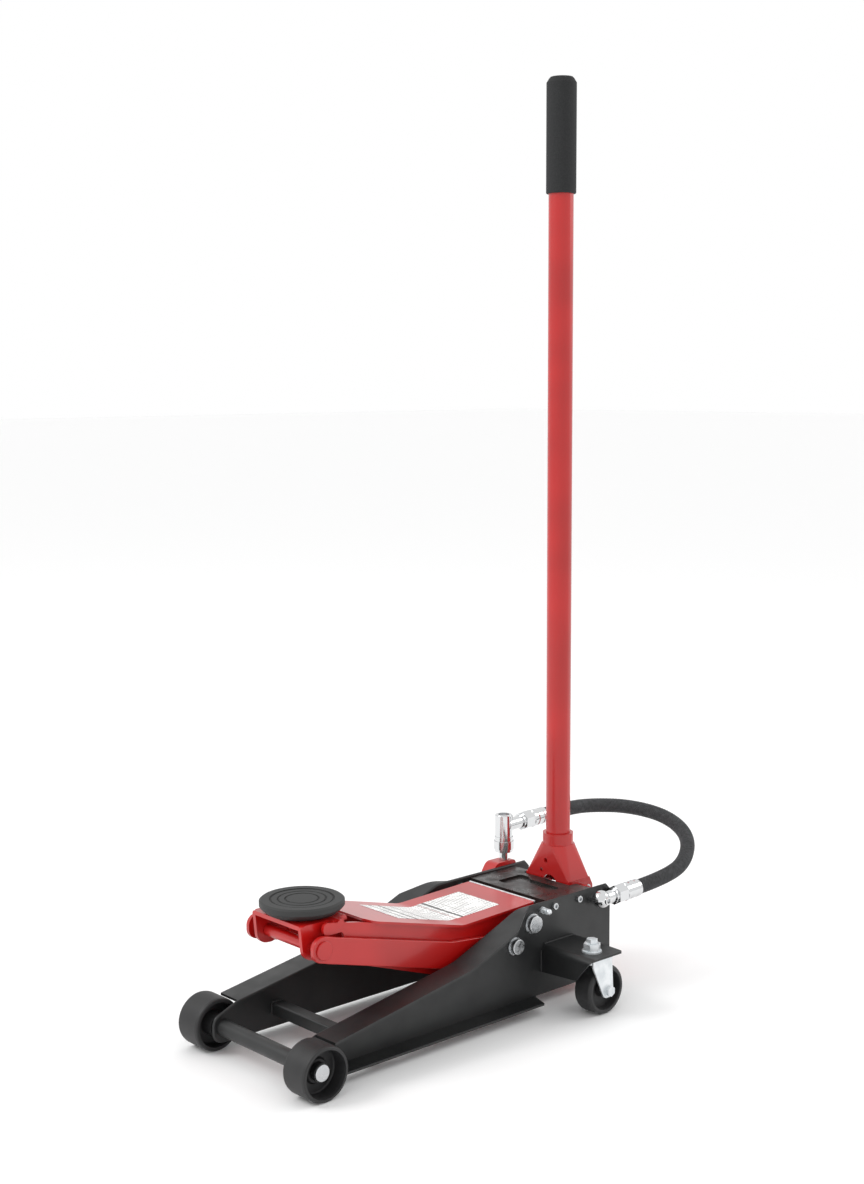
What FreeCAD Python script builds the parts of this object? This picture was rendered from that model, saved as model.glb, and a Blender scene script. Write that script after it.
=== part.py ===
import FreeCAD, Part
import math
import os
from FreeCAD import Vector as V

# Hydraulic trolley jack with an upright pump handle and an outside pressure hose.
# Millimetres. Length runs along Y with the saddle at -Y and the handle at +Y, width along X,
# height along Z. The origin is on the floor, under the middle of the jack.

# ---- driving dimensions -------------------------------------------------------------------
SHEET = 3.0                    # side frame plate
WEB_OUT = 75.0                 # outer face of each side plate, from the middle plane
WEB_IN = WEB_OUT - SHEET
FLANGE_OUT = 109.0             # edge of the turned-out top flange
FOOT_OUT = 100.0               # edge of the turned-out bottom flange
FRAME_BOTTOM = 13.0
WEB_BOTTOM = 16.0              # lower edge of each side plate behind its foot flange
FRAME_TOP = 136.0
FRAME_REAR = 267.0
FRAME_FRONT = -262.0

FLANGE_START = -224.5          # front ends of the top and foot flanges, behind the rollers
FOOT_START = -211.0

WHEEL_R = 32.0                 # front rollers
AXLE_Y = -247.0
AXLE_R = 8.0

ARM_PIVOT = (121.0, 112.5)     # (y, z) of the lift arm shaft in the frame
LINK_PIVOT = (90.0, 90.5)      # (y, z) of the levelling link bolts in the frame
LINK_FRONT = (-203.0, 149.0)   # (y, z) of the shaft through links and saddle carrier
ARM_FRONT = (LINK_FRONT[0] + ARM_PIVOT[0] - LINK_PIVOT[0],
             LINK_FRONT[1] + ARM_PIVOT[1] - LINK_PIVOT[1])
ARM_SHAFT_R = 10.0
LINK_BOLT_R = 7.0
LINK_SHAFT_R = 7.0
TRUNNION_R = 5.5
RUN = 0.08                     # radial clearance of a running fit
FREE = 0.35                    # radial clearance of the link shaft in the carrier

SADDLE_Y = -184.0
SADDLE_TOP = 192.7
SADDLE_R = 50.0

RAM_Z = 65.4
ROD_R = 13.0
CYLINDER_R = 26.0
CYLINDER_FRONT = 166.0
PLUG_PLACE = (0.0, 192.0)      # (x, y) of the oil filler plug
LEVER_LENGTH = 50.0            # arm pivot to the pin the ram pushes
LEVER_LEAN = 19.0              # degrees behind straight down, at rest
SPRING_X = 44.0

HANDLE_Y = 247.0
HANDLE_PIVOT_Z = 112.0
HANDLE_R = 16.0
HANDLE_TOP = 1167.0
GRIP_LENGTH = 144.0
GRIP_R = 19.2
COLLAR_TOP = 193.0
COLLAR_R = 20.2

ROLLER_REACH = 20.0            # handle pivot to pump roller
ROLLER_LIFT = 30.0             # degrees above level, at rest
ROLLER_R = 7.0

CASTER_X = 136.0
CASTER_Y = 166.0               # king pin
CASTER_TRAIL = 13.0
CASTER_R = 31.4
CASTER_HALF = 13.6
BRACKET_TOP = 80.6

HOSE_R = 10.0
TEE_PLACE = (-84.0, 229.0)     # (x, y) of the upright tee on the left


# ---- shape helpers ------------------------------------------------------------------------
def box(x0, x1, y0, y1, z0, z1):
    return Part.makeBox(x1 - x0, y1 - y0, z1 - z0, V(x0, y0, z0))


def rod_x(y, z, r, x0, x1):
    return Part.makeCylinder(r, x1 - x0, V(x0, y, z), V(1, 0, 0))


def rod_y(x, z, r, y0, y1):
    return Part.makeCylinder(r, y1 - y0, V(x, y0, z), V(0, 1, 0))


def rod_z(x, y, r, z0, z1):
    return Part.makeCylinder(r, z1 - z0, V(x, y, z0), V(0, 0, 1))


def ring_x(y, z, r_out, r_in, x0, x1):
    return rod_x(y, z, r_out, x0, x1).cut(rod_x(y, z, r_in, x0 - 1, x1 + 1))


def ring_y(x, z, r_out, r_in, y0, y1):
    return rod_y(x, z, r_out, y0, y1).cut(rod_y(x, z, r_in, y0 - 1, y1 + 1))


def ring_z(x, y, r_out, r_in, z0, z1):
    return rod_z(x, y, r_out, z0, z1).cut(rod_z(x, y, r_in, z0 - 1, z1 + 1))


def rounded_face(corners):
    """Closed flat outline of (a, b, radius) corners, straight between them, as a face in XY."""
    count = len(corners)
    edges = []
    leave = []
    for i in range(count):
        a, b, r = corners[i]
        here = V(a, b, 0)
        before = V(corners[i - 1][0], corners[i - 1][1], 0)
        after = V(corners[(i + 1) % count][0], corners[(i + 1) % count][1], 0)
        to_before = (before - here).normalize()
        to_after = (after - here).normalize()
        if r == 0:
            leave.append((here, None, here))
            continue
        half = to_before.getAngle(to_after) / 2
        run = r / math.tan(half)
        middle = (to_before + to_after).normalize() * (r / math.sin(half) - r)
        leave.append((here + to_before * run, here + middle, here + to_after * run))
    for i in range(count):
        start, mid, end = leave[i]
        if mid is not None:
            edges.append(Part.Arc(start, mid, end).toShape())
        following = leave[(i + 1) % count][0]
        if (following - end).Length > 1e-6:
            edges.append(Part.LineSegment(end, following).toShape())
    return Part.Face(Part.Wire(edges))


def side_face(corners):
    """The outline with its corners given as (y, z, radius), standing in the YZ plane."""
    face = rounded_face(corners)
    face.rotate(V(0, 0, 0), V(1, 1, 1), 120)
    return face


def side_plate(corners, x0, x1):
    face = side_face(corners)
    face.translate(V(x0, 0, 0))
    return face.extrude(V(x1 - x0, 0, 0))


def flat_plate(corners, z0, z1):
    face = rounded_face(corners)
    face.translate(V(0, 0, z0))
    return face.extrude(V(0, 0, z1 - z0))


def front_plate(corners, y0, y1):
    """Plate whose outline is given as (x, z, radius), extruded along Y."""
    face = rounded_face(corners)
    face.rotate(V(0, 0, 0), V(1, 0, 0), 90)
    face.translate(V(0, y0, 0))
    return face.extrude(V(0, y1 - y0, 0))


def turned(profile, centre, axis):
    """Ring turned from (along, radius) points about the axis through the centre."""
    across = V(0, 0, 1) if axis.z == 0 else V(1, 0, 0)
    points = [centre + axis * a + across * r for a, r in profile]
    face = Part.Face(Part.makePolygon(points + points[:1]))
    return face.revolve(centre, axis, 360)


def hexagon(flats, thick):
    """Hexagonal prism standing on the origin, with its top corners chamfered."""
    radius = flats / math.sqrt(3)
    points = [V(radius * math.cos(math.radians(a)), radius * math.sin(math.radians(a)), 0)
              for a in range(0, 361, 60)]
    prism = Part.Face(Part.makePolygon(points)).extrude(V(0, 0, thick))
    return prism.common(Part.makeCone(radius + thick, radius - 0.13 * flats, thick * 2 + 0.13 * flats
                                      ).common(Part.makeBox(90, 90, thick, V(-45, -45, 0))))


def hex_nut(flats, thick, x, y, z, axis=V(0, 0, 1)):
    nut = hexagon(flats, thick)
    nut.Placement = FreeCAD.Placement(V(x, y, z), FreeCAD.Rotation(V(0, 0, 1), axis))
    return nut


def mirrored(shape):
    return shape.mirror(V(0, 0, 0), V(1, 0, 0))


def both_sides(shape):
    return Part.makeCompound([shape, mirrored(shape)])


def fuse(first, *others):
    joined = first.fuse(list(others)).removeSplitter()
    if joined.Volume < 0:
        joined.reverse()
    return joined


def write(node, shape):
    shape.exportStep("parts/" + node + ".step")


def write_pair(stem, shape):
    write(stem + "_right", shape)
    write(stem + "_left", mirrored(shape))


# ---- frame --------------------------------------------------------------------------------
def frame_outline():
    """Side view of a frame plate: nose round the axle, long rise, steep rise, level rear."""
    nose = AXLE_Y - FRAME_FRONT
    return [(FRAME_FRONT, FRAME_BOTTOM, nose), (FRAME_REAR, FRAME_BOTTOM, 0),
            (FRAME_REAR, FRAME_TOP - 8, 0), (FRAME_REAR - 8, FRAME_TOP, 0),
            (96, FRAME_TOP, 40), (-12, 93.2, 90), (-225.5, 59, 0), (FRAME_FRONT, 45, nose)]


def frame_side(port):
    """Pressed channel: web, top flange turned out and fading into the web, foot flange.

    The side with the hose port takes both lid screws; the other one's lug stands over the second."""
    outline = side_face(frame_outline())
    outer = outline.copy()
    outer.translate(V(WEB_IN, 0, 0))
    outer = outer.extrude(V(FLANGE_OUT - WEB_IN, 0, 0))
    rim = [e for e in outer.Edges if abs(e.CenterOfMass.x - WEB_IN) < 0.01]
    outer = outer.makeFillet(2.4, rim)
    inner = outline.makeOffset2D(-SHEET)
    inner.translate(V(WEB_OUT, 0, 0))
    channel = outer.cut(inner.extrude(V(FLANGE_OUT, 0, 0)))
    far = FLANGE_OUT + 1
    no_rim = [box(WEB_OUT, far, FRAME_FRONT - 1, FLANGE_START, 0, 90),
              box(WEB_OUT, far, FLANGE_START - 1, FOOT_START, 5, 40),
              box(FOOT_OUT, far, FLANGE_START - 1, FRAME_REAR + 1, 5, 40),
              flat_plate([(WEB_OUT, 116, 0), (WEB_OUT + 9, 104, 14), (FLANGE_OUT - 6, 72, 14),
                          (far, 60, 0), (far, FRAME_REAR + 1, 0), (WEB_OUT, FRAME_REAR + 1, 0)],
                         40, FRAME_TOP + 1),
              flat_plate([(WEB_OUT, 127, 0), (far, 115, 0), (far, FRAME_REAR + 1, 0),
                          (WEB_OUT, FRAME_REAR + 1, 0)], 5, 40.5),
              box(WEB_IN - 1, far, 129, FRAME_REAR + 1, 5, WEB_BOTTOM)]
    holes = [rod_x(AXLE_Y, WHEEL_R, AXLE_R + 0.05, 60, 90),
             rod_x(*ARM_PIVOT, ARM_SHAFT_R + 0.05, 60, 90),
             rod_x(*LINK_PIVOT, LINK_BOLT_R + 0.05, 60, 90)]
    holes += [rod_x(y, z, 3.05, 60, 90) for y, z in cover_screw_places()[:2 if port else 1]]
    holes += [rod_x(y, z, 4.05, 60, 90) for y, z in block_bolt_places()]
    holes += [rod_x(*nipple_place(), 3.05, 60, 90)]
    if port:
        holes += [rod_x(*hose_port(), 5.05, 60, 90)]
    return channel.cut(no_rim + holes).removeSplitter()


def cover_screw_places():
    return [(161.5, 126.4), (206.5, 126.4)]


def block_bolt_places():
    return [(214.0, 42.0), (252.0, 42.0)]


def nipple_place():
    return (139.0, 126.0)


def hose_port():
    return (237.0, 122.0)


def cross_tie():
    """Angle welded between the side plates behind the axle."""
    y0, y1, z0, z1, thick = -176, -160, 30, 44.5, 4
    top = box(-WEB_IN, WEB_IN, y0, y1, z1 - thick, z1)
    front = box(-WEB_IN, WEB_IN, y0, y0 + thick, z0, z1)
    tie = fuse(top, front)
    bend = [e for e in tie.Edges if abs(e.CenterOfMass.y - y0) < 0.01 and abs(e.CenterOfMass.z - z1) < 0.01]
    return tie.makeFillet(2.5, bend)


AXLE_SLEEVE_END = 112.3


def front_axle():
    """Bar through nose plates and rollers, closed by a round riveted head on each end."""
    end = 114.5
    bar = rod_x(AXLE_Y, WHEEL_R, AXLE_R, -end, end)
    head = rod_x(AXLE_Y, WHEEL_R, 9.9, AXLE_SLEEVE_END, end)
    head = head.makeFillet(1.0, [e for e in head.Edges if abs(e.CenterOfMass.x - end) < 0.01])
    return fuse(bar, head, mirrored(head))


def axle_tube():
    return ring_x(AXLE_Y, WHEEL_R, 10.0, AXLE_R + 0.05, -WEB_IN, WEB_IN)


def axle_washers():
    """Sleeve outside each roller and washer inside it."""
    outer = ring_x(AXLE_Y, WHEEL_R, 10.8, AXLE_R + 0.05, 105.0, AXLE_SLEEVE_END)
    inner = ring_x(AXLE_Y, WHEEL_R, 12.5, AXLE_R + 0.05, WEB_OUT, 78.4)
    return Part.makeCompound([outer, inner, mirrored(outer), mirrored(inner)])


def front_wheel():
    """Roller with a crowned tread, dished face, thin web and a long hub."""
    x = [82.5, 83.5, 86.0, 117.3, 119.8, 120.8]
    hub, bore = 14.0, AXLE_R + RUN
    profile = [(x[0], 27), (x[0], 30.2), (x[1], 31.4), (x[2], WHEEL_R), (x[3], WHEEL_R), (x[4], 31.4),
               (x[5], 30.2), (x[5], 27.8), (117, 27.0), (103, 26.0), (101.5, 24.5), (101.5, 15.6),
               (104.0, hub), (104.6, hub - 0.6), (104.6, bore), (79, bore), (79, hub), (96, hub + 1),
               (96, 24.5), (94.5, 26)]
    return turned(profile, V(0, AXLE_Y, WHEEL_R), V(1, 0, 0))


def rear_cover():
    """Pressed lid over the hydraulic unit with a sunk L-shaped bead, notched round the socket."""
    y0, y1, top, thick = 154.5, 237, 133.0, 2.0
    notch_half, notch_front = 42.5, 225.0
    half = WEB_IN - 0.2
    lid = box(-half, half, y0, y1, top - thick, top)
    lips = box(half - thick, half, y0 + 2, 228, 120, top)
    front = box(-half, half, y0, y0 + thick, 124.5, top)
    cover = fuse(lid, lips, mirrored(lips), front)
    bead = [(-40, 169, 7), (-21, 169, 7), (-12, 189, 8), (45, 189, 9), (45, 210, 9), (-12, 210, 8),
            (-22, 217, 4), (-40, 217, 7)]
    shallow = 3.0
    outer = flat_plate(bead, top - thick - shallow, top - thick)
    grown = rounded_face([(a, b, r) for a, b, r in bead]).makeOffset2D(-2.5)
    grown.translate(V(0, 0, top - shallow))
    notch = box(-notch_half, notch_half, notch_front, y1 + 1, 100, top + 1)
    return fuse(cover, outer).cut(grown.extrude(V(0, 0, shallow + 1))).cut(
        [notch] + [rod_x(y, z, 3.05, -80, 80) for y, z in cover_screw_places()])


def socket_screw(y, z):
    """Socket head cap screw through the side plate into the lid's lip, with its nut inside."""
    x = WEB_OUT
    head = rod_x(y, z, 4.4, x, x + 4.0)
    head = head.makeFillet(0.7, [e for e in head.Edges if abs(e.CenterOfMass.x - x - 4) < 0.01])
    recess = hex_nut(4.6, 3.0, x + 1.6, y, z, V(1, 0, 0))
    shank = rod_x(y, z, 3.0, 63.5, x + 0.5)
    nut = hex_nut(7.8, 4.5, 65.2, y, z, V(1, 0, 0)).cut(rod_x(y, z, 3.0, 60, 80))
    return [fuse(head.cut(recess), shank), nut]


def cover_screws():
    front, rear = [socket_screw(y, z) for y, z in cover_screw_places()]
    return Part.makeCompound(front + rear + [mirrored(s) for s in front])


def grease_nipples():
    """Greaser beside the arm pivot: hexagon body, waist and ball end."""
    y, z = nipple_place()
    body = hex_nut(8.0, 3.5, WEB_OUT, y, z, V(1, 0, 0))
    shape = fuse(body, rod_x(y, z, 3.0, 69, WEB_OUT + 1), rod_x(y, z, 3.6, 78, 84),
                 rod_x(y, z, 2.6, 84, 86), Part.makeSphere(3.8, V(87.5, y, z), V(1, 0, 0)))
    return both_sides(shape)


def pivot_head(y, z, r):
    """Low domed round head standing on its washer."""
    outer = WEB_OUT + 9
    head = rod_x(y, z, r, WEB_OUT + 2, outer)
    return head.makeFillet(1.2, [e for e in head.Edges if abs(e.CenterOfMass.x - outer) < 0.01])


def arm_shaft():
    head = pivot_head(*ARM_PIVOT, 11.0)
    bar = rod_x(*ARM_PIVOT, ARM_SHAFT_R, -WEB_OUT - 2, WEB_OUT + 2)
    return fuse(bar, head, mirrored(head))


def link_bolts():
    bolt = fuse(pivot_head(*LINK_PIVOT, 9.8), rod_x(*LINK_PIVOT, LINK_BOLT_R, 59.0, WEB_OUT + 2))
    nut = ring_x(*LINK_PIVOT, 11.0, LINK_BOLT_R, 64.6, WEB_IN)
    return Part.makeCompound([bolt, nut, mirrored(bolt), mirrored(nut)])


def pivot_washers():
    arm = ring_x(*ARM_PIVOT, 12.6, ARM_SHAFT_R + 0.05, WEB_OUT, WEB_OUT + 2)
    link = ring_x(*LINK_PIVOT, 11.4, LINK_BOLT_R + 0.05, WEB_OUT, WEB_OUT + 2)
    return Part.makeCompound([arm, link, mirrored(arm), mirrored(link)])


# ---- rear casters -------------------------------------------------------------------------
def caster_bracket():
    """Plate welded to the side, level over the caster and bent down along its front."""
    thick = 3.5
    y_front, tip_x, tip_y = 138.0, 161.0, 196.0
    section = [(y_front, 45, 0), (y_front + thick, 45, 0), (y_front + thick, BRACKET_TOP - thick, 4.5),
               (tip_y + 4, BRACKET_TOP - thick, 0), (tip_y + 4, BRACKET_TOP, 0), (y_front, BRACKET_TOP, 8)]
    bent = side_plate(section, WEB_OUT, tip_x + 1)
    plan = flat_plate([(WEB_OUT, y_front - 1, 0), (tip_x, y_front - 1, 0), (tip_x, tip_y, 5),
                       (WEB_OUT + 30, tip_y + 3, 0), (WEB_OUT, tip_y + 3, 0)], 40, 90)
    skirt = front_plate([(WEB_OUT, 45.5, 0), (134, 49, 0), (tip_x - 4, 76, 6), (tip_x + 2, 79, 0),
                         (tip_x + 2, 90, 0), (WEB_OUT, 90, 0)], y_front - 1, tip_y + 5)
    return bent.common(plan).common(skirt).cut(rod_z(CASTER_X, CASTER_Y, 5.05, 60, 90))


def king_pin():
    """Bolt up through fork and bracket, with washer and nut on top."""
    top = BRACKET_TOP
    head = 65.2
    pin = fuse(rod_z(CASTER_X, CASTER_Y, 5.0, head, top + 17), rod_z(CASTER_X, CASTER_Y, 8.5, head, head + 3.2))
    washer = ring_z(CASTER_X, CASTER_Y, 12.5, 5.05, top, top + 2)
    nut = hex_nut(19.0, 9.0, CASTER_X, CASTER_Y, top + 2)
    lock = hex_nut(12.5, 5.5, CASTER_X, CASTER_Y, top + 11)
    nuts = fuse(nut, lock).cut(rod_z(CASTER_X, CASTER_Y, 5.0, top, top + 20))
    return Part.makeCompound([pin, washer, nuts])


def caster_fork():
    """Zinc plated U: swivel plate, two legs narrowing down to the wheel bolt."""
    x, y = CASTER_X, CASTER_Y
    axle_y = y + CASTER_TRAIL
    leg_in, leg_out = CASTER_HALF + 1.4, CASTER_HALF + 3.6
    top, under = BRACKET_TOP - 4.0, BRACKET_TOP - 7.0
    plate = flat_plate([(x - leg_out, y - 16, 8), (x + leg_out, y - 16, 8), (x + leg_out, y + 19, 8),
                        (x - leg_out, y + 19, 8)], under, top)
    outline = [(y - 16, top, 4), (y - 16, under - 6, 8), (axle_y - 8.5, CASTER_R - 8.5, 8),
               (axle_y + 8.5, CASTER_R - 8.5, 8), (y + 19, under - 6, 8), (y + 19, top, 4)]
    leg = side_plate(outline, leg_in, leg_out)
    legs = [leg.translated(V(x, 0, 0)), mirrored(leg).translated(V(x, 0, 0))]
    fork = fuse(plate, *legs)
    bores = [rod_z(x, y, 5.0 + RUN, 60, 90), rod_x(axle_y, CASTER_R, 4.05, x - 30, x + 30)]
    return fork.cut(bores)


def caster_axle():
    x, y, z = CASTER_X, CASTER_Y + CASTER_TRAIL, CASTER_R
    half = CASTER_HALF + 3.6
    bar = rod_x(y, z, 4.0, x - half - 6.5, x + half + 1)
    head = hex_nut(12.0, 4.5, x + half, y, z, V(1, 0, 0))
    nut = hex_nut(12.0, 5.5, x - half, y, z, V(-1, 0, 0)).cut(rod_x(y, z, 4.0, x - 40, x - 10))
    spacers = [ring_x(y, z, 6.2, 4.05, x - half + 2.2, x - CASTER_HALF + 0.6),
               ring_x(y, z, 6.2, 4.05, x + CASTER_HALF - 0.6, x + half - 2.2)]
    return Part.makeCompound([fuse(bar, head), nut] + spacers)


def caster_wheel():
    """Wheel with a rounded tread, dished faces and a plain bore."""
    x, r, bore = CASTER_HALF, CASTER_R, 4.0 + RUN
    half = [(x, 25.5), (x, 28.5), (x - 1.2, 30.4), (x - 3.4, r)]
    dish = [(x - 1.2, 25.0), (4.0, 23.8), (4.0, 11.0), (x - 1.4, 9.2), (x - 1.4, bore)]
    profile = half + [(-a, b) for a, b in reversed(half)] + [(-a, b) for a, b in dish]
    profile += [(a, b) for a, b in reversed(dish)]
    centre = V(CASTER_X, CASTER_Y + CASTER_TRAIL, CASTER_R)
    return turned(profile, centre, V(1, 0, 0))


# ---- hydraulic unit -----------------------------------------------------------------------
EAR_IN, EAR_OUT = 42.0, 49.0
BLOCK_FRONT, BLOCK_REAR = 205.0, 277.0


def pump_block():
    """Cast pump body bolted between the side plates, with two ears for the handle socket."""
    body = box(-58, 58, BLOCK_FRONT, BLOCK_REAR, 27, 74)
    body = body.makeFillet(4.0, [e for e in body.Edges if abs(e.Length - 47) < 0.01])
    deck = box(-30, 30, 238, BLOCK_REAR, 70, 80)
    feet = box(-WEB_IN, WEB_IN, BLOCK_FRONT + 2, FRAME_REAR - 4, 32, 52)
    ear = side_plate([(229, 70, 0), (266, 70, 0), (266, 112, 12), (256, 129, 9), (237, 129, 9),
                      (229, 112, 12)], EAR_IN, EAR_OUT)
    block = fuse(body, deck, feet, ear, mirrored(ear))
    bores = [rod_y(0, RAM_Z, 26.05, BLOCK_FRONT - 1, 236), rod_z(0, plunger_y(), 6.0 + RUN, 36, 90),
             rod_x(HANDLE_Y, HANDLE_PIVOT_Z, 6.0, -60, 60), rod_z(0, HANDLE_Y, 6.0 + RUN, 62, 90)]
    bores += [rod_x(y, z, 4.0, -80, 80).common(both_sides(box(58, 80, 200, 280, 30, 60)))
              for y, z in block_bolt_places()]
    return block.cut(bores)


def block_bolts():
    solids = []
    for y, z in block_bolt_places():
        head = hex_nut(13.0, 5.3, WEB_OUT, y, z, V(1, 0, 0))
        bolt = fuse(head, rod_x(y, z, 4.0, 58, WEB_OUT + 1))
        solids += [bolt, mirrored(bolt)]
    return Part.makeCompound(solids)


def ram_cylinder():
    return ring_y(0, RAM_Z, CYLINDER_R, 19.05, CYLINDER_FRONT, 236)


def gland_nut():
    """Cap screwed over the mouth of the cylinder, bushed for the rod, with pin spanner holes."""
    skirt = ring_y(0, RAM_Z, 31.0, CYLINDER_R + 0.05, CYLINDER_FRONT, CYLINDER_FRONT + 11)
    cap = ring_y(0, RAM_Z, 31.0, ROD_R + RUN, CYLINDER_FRONT - 4, CYLINDER_FRONT)
    holes = [rod_y(x, RAM_Z, 2.5, CYLINDER_FRONT - 5, CYLINDER_FRONT - 1) for x in (-24, 24)]
    return fuse(skirt, cap).cut(holes)


def reservoir():
    """Oil tank round the cylinder, closed by the block behind and a welded ring in front."""
    shell = ring_y(0, RAM_Z, 35.0, 33.0, 179, BLOCK_FRONT)
    end = ring_y(0, RAM_Z, 33.0, CYLINDER_R + 0.05, 179, 181.5)
    return fuse(shell, end).cut(rod_z(*PLUG_PLACE, 5.0, RAM_Z + 20, RAM_Z + 40))


def filler_plug():
    """Rubber plug pushed into the filling hole on top of the reservoir."""
    base = RAM_Z + 35
    return fuse(rod_z(*PLUG_PLACE, 5.0, base - 4, base + 2), rod_z(*PLUG_PLACE, 7.5, base + 0.2, base + 3))


def lever_pin_place():
    lean = math.radians(LEVER_LEAN)
    return (ARM_PIVOT[0] + LEVER_LENGTH * math.sin(lean), ARM_PIVOT[1] - LEVER_LENGTH * math.cos(lean))


def ram_rod():
    """Piston and rod; the rod ends under the yoke."""
    y_yoke = lever_pin_place()[0] + 16
    rod = rod_y(0, RAM_Z, ROD_R, y_yoke, 226)
    piston = rod_y(0, RAM_Z, 19.0, 214, 228)
    groove = ring_y(0, RAM_Z, 20.0, 16.5, 219, 223)
    return fuse(rod, piston).cut(groove)


def ram_yoke():
    """Forged head with an upright slot in which the lever pin slides."""
    y, _ = lever_pin_place()
    block = box(-16, 16, y - 15, y + 16, RAM_Z - 17, RAM_Z + 17)
    block = block.makeFillet(3.0, [e for e in block.Edges if abs(e.Length - 32) < 0.01])
    slot = side_plate([(y - 8.4, RAM_Z - 12, 8), (y + 8.4, RAM_Z - 12, 8), (y + 8.4, RAM_Z + 12, 8),
                       (y - 8.4, RAM_Z + 12, 8)], -20, 20)
    return block.cut(slot)


def pump_plunger():
    y = plunger_y()
    head = roller_place()[1] - ROLLER_R - 0.7
    shape = fuse(rod_z(0, y, 6.0, head - 50, head), rod_z(0, y, 9.0, head - 4, head))
    return shape.makeFillet(0.8, [e for e in shape.Edges if abs(e.CenterOfMass.z - head) < 0.01])


def plunger_y():
    return HANDLE_Y + ROLLER_REACH * (1 + math.cos(math.radians(ROLLER_LIFT))) / 2


def roller_place():
    lift = math.radians(ROLLER_LIFT)
    return (HANDLE_Y + ROLLER_REACH * math.cos(lift), HANDLE_PIVOT_Z + ROLLER_REACH * math.sin(lift))


def coil(r_mid, r_wire, start, length, turns, axis):
    """Coil spring with its helix running from the start point along the axis."""
    helix = Part.makeHelix(length / turns, length, r_mid)
    section = Part.Wire(Part.makeCircle(r_wire, V(r_mid, 0, 0), V(0, 1, 0)))
    spring = Part.Wire(helix).makePipeShell([section], True, True)
    spring.Placement = FreeCAD.Placement(start, FreeCAD.Rotation(V(0, 0, 1), axis))
    return spring


def plunger_spring():
    head = roller_place()[1] - ROLLER_R - 0.7
    return coil(8.0, 0.9, V(0, plunger_y(), 81.1), head - 4 - 81.1 - 1.1, 6, V(0, 0, 1))


def release_valve():
    """Needle valve screw in the block, with the lower fork of the universal joint on top."""
    stem = fuse(rod_z(0, HANDLE_Y, 6.0, 64, 92), rod_z(0, HANDLE_Y, 8.5, 84, 92))
    fork = box(-7.5, 7.5, HANDLE_Y - 6, HANDLE_Y + 6, 90, 106)
    gap = box(-4, 4, HANDLE_Y - 7, HANDLE_Y + 7, 95, 107)
    return fuse(stem, fork.cut(gap))


# ---- lift arm -----------------------------------------------------------------------------
ARM_WEB_IN, ARM_WEB_OUT = 52.0, 56.0
PIVOT_TUBE_R = 15.0
COVER_HALF = 60.5
COVER_BEND, COVER_LOW, COVER_SHEET = 17.0, 129.4, 3.0


def cover_line(y):
    """Top face of the arm cover: nearly level over the pivot, rising towards the saddle."""
    if y > COVER_BEND:
        return COVER_LOW + (y - COVER_BEND) * 0.031
    return COVER_LOW + (COVER_BEND - y) * 0.255


def arm_webs():
    """Side cheeks of the lift arm, between the main shaft and the saddle trunnions."""
    y0, z0 = ARM_FRONT
    y1, z1 = ARM_PIVOT
    nose = y0 - 25
    rear, front = y1 + 18.5, y0 + 24
    outline = [(nose, z0 - 9, 6.5), (y0 + 3, z0 - 9, 5), (y0 + 16, z0 - 50, 8), (-20, 74, 60),
               (y1 - 8, 82, 30), (rear, z1 - 19, 14), (rear, cover_line(rear) - COVER_SHEET, 0),
               (COVER_BEND - 0.3, COVER_LOW - COVER_SHEET, 40), (front, cover_line(front) - COVER_SHEET, 0),
               (nose, z0 + 7, 6)]
    web = side_plate(outline, ARM_WEB_IN, ARM_WEB_OUT)
    return both_sides(web.cut([rod_x(*ARM_FRONT, TRUNNION_R + RUN, 40, 60),
                               rod_x(*ARM_PIVOT, PIVOT_TUBE_R, 40, 60)]))


def arm_cover():
    """Bent top plate welded on the webs, its front corners cut back beside the saddle."""
    front, rear = -132.0, 141.0
    section = [(front, cover_line(front), 0), (COVER_BEND, COVER_LOW, 40), (rear, cover_line(rear), 0),
               (rear, cover_line(rear) - COVER_SHEET, 0), (COVER_BEND - 0.3, COVER_LOW - COVER_SHEET, 40),
               (front, cover_line(front) - COVER_SHEET, 0)]
    plate = side_plate(section, -COVER_HALF, COVER_HALF)
    plan = flat_plate([(-COVER_HALF, rear, 3), (-COVER_HALF, front + 10, 10), (-46, front, 4), (46, front, 4),
                       (COVER_HALF, front + 10, 10), (COVER_HALF, rear, 3)], 100, 200)
    return plate.common(plan)


def pivot_tube():
    """Bushed tube across the arm, running on the main shaft."""
    return ring_x(*ARM_PIVOT, PIVOT_TUBE_R, ARM_SHAFT_R + RUN, -66, 66)


def arm_levers():
    """Pair of short cheeks under the pivot tube that carry the pin the ram pushes."""
    y0, z0 = ARM_PIVOT
    y1, z1 = lever_pin_place()
    lean = math.radians(LEVER_LEAN)
    along = V(0, math.sin(lean), -math.cos(lean))
    across = V(0, math.cos(lean), math.sin(lean))
    base, tip = V(0, y0, z0), V(0, y1, z1)
    points = [base + across * 20, base - across * 20, tip - across * 12 + along * 12,
              tip + across * 12 + along * 12]
    corners = [(p.y, p.z, r) for p, r in zip(points, (0, 0, 11, 11))]
    cheek = side_plate(corners, 18.0, 24.0)
    cheek = fuse(cheek, rod_x(y0, z0, 20.0, 18.0, 24.0))
    above = box(10, 30, y0 - 40, y0 + 40, cover_line(y0 - 20) - COVER_SHEET - 1, z0 + 40)
    cheek = cheek.cut([above, rod_x(y0, z0, PIVOT_TUBE_R, 10, 30), rod_x(y1, z1, 7.05, 10, 30)])
    return both_sides(cheek)


def lever_pin():
    """Pin across the levers; its thin ends carry the return springs."""
    y, z = lever_pin_place()
    return fuse(rod_x(y, z, 7.0, -27, 27), rod_x(y, z, 4.0, -SPRING_X - 4, SPRING_X + 4))


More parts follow.
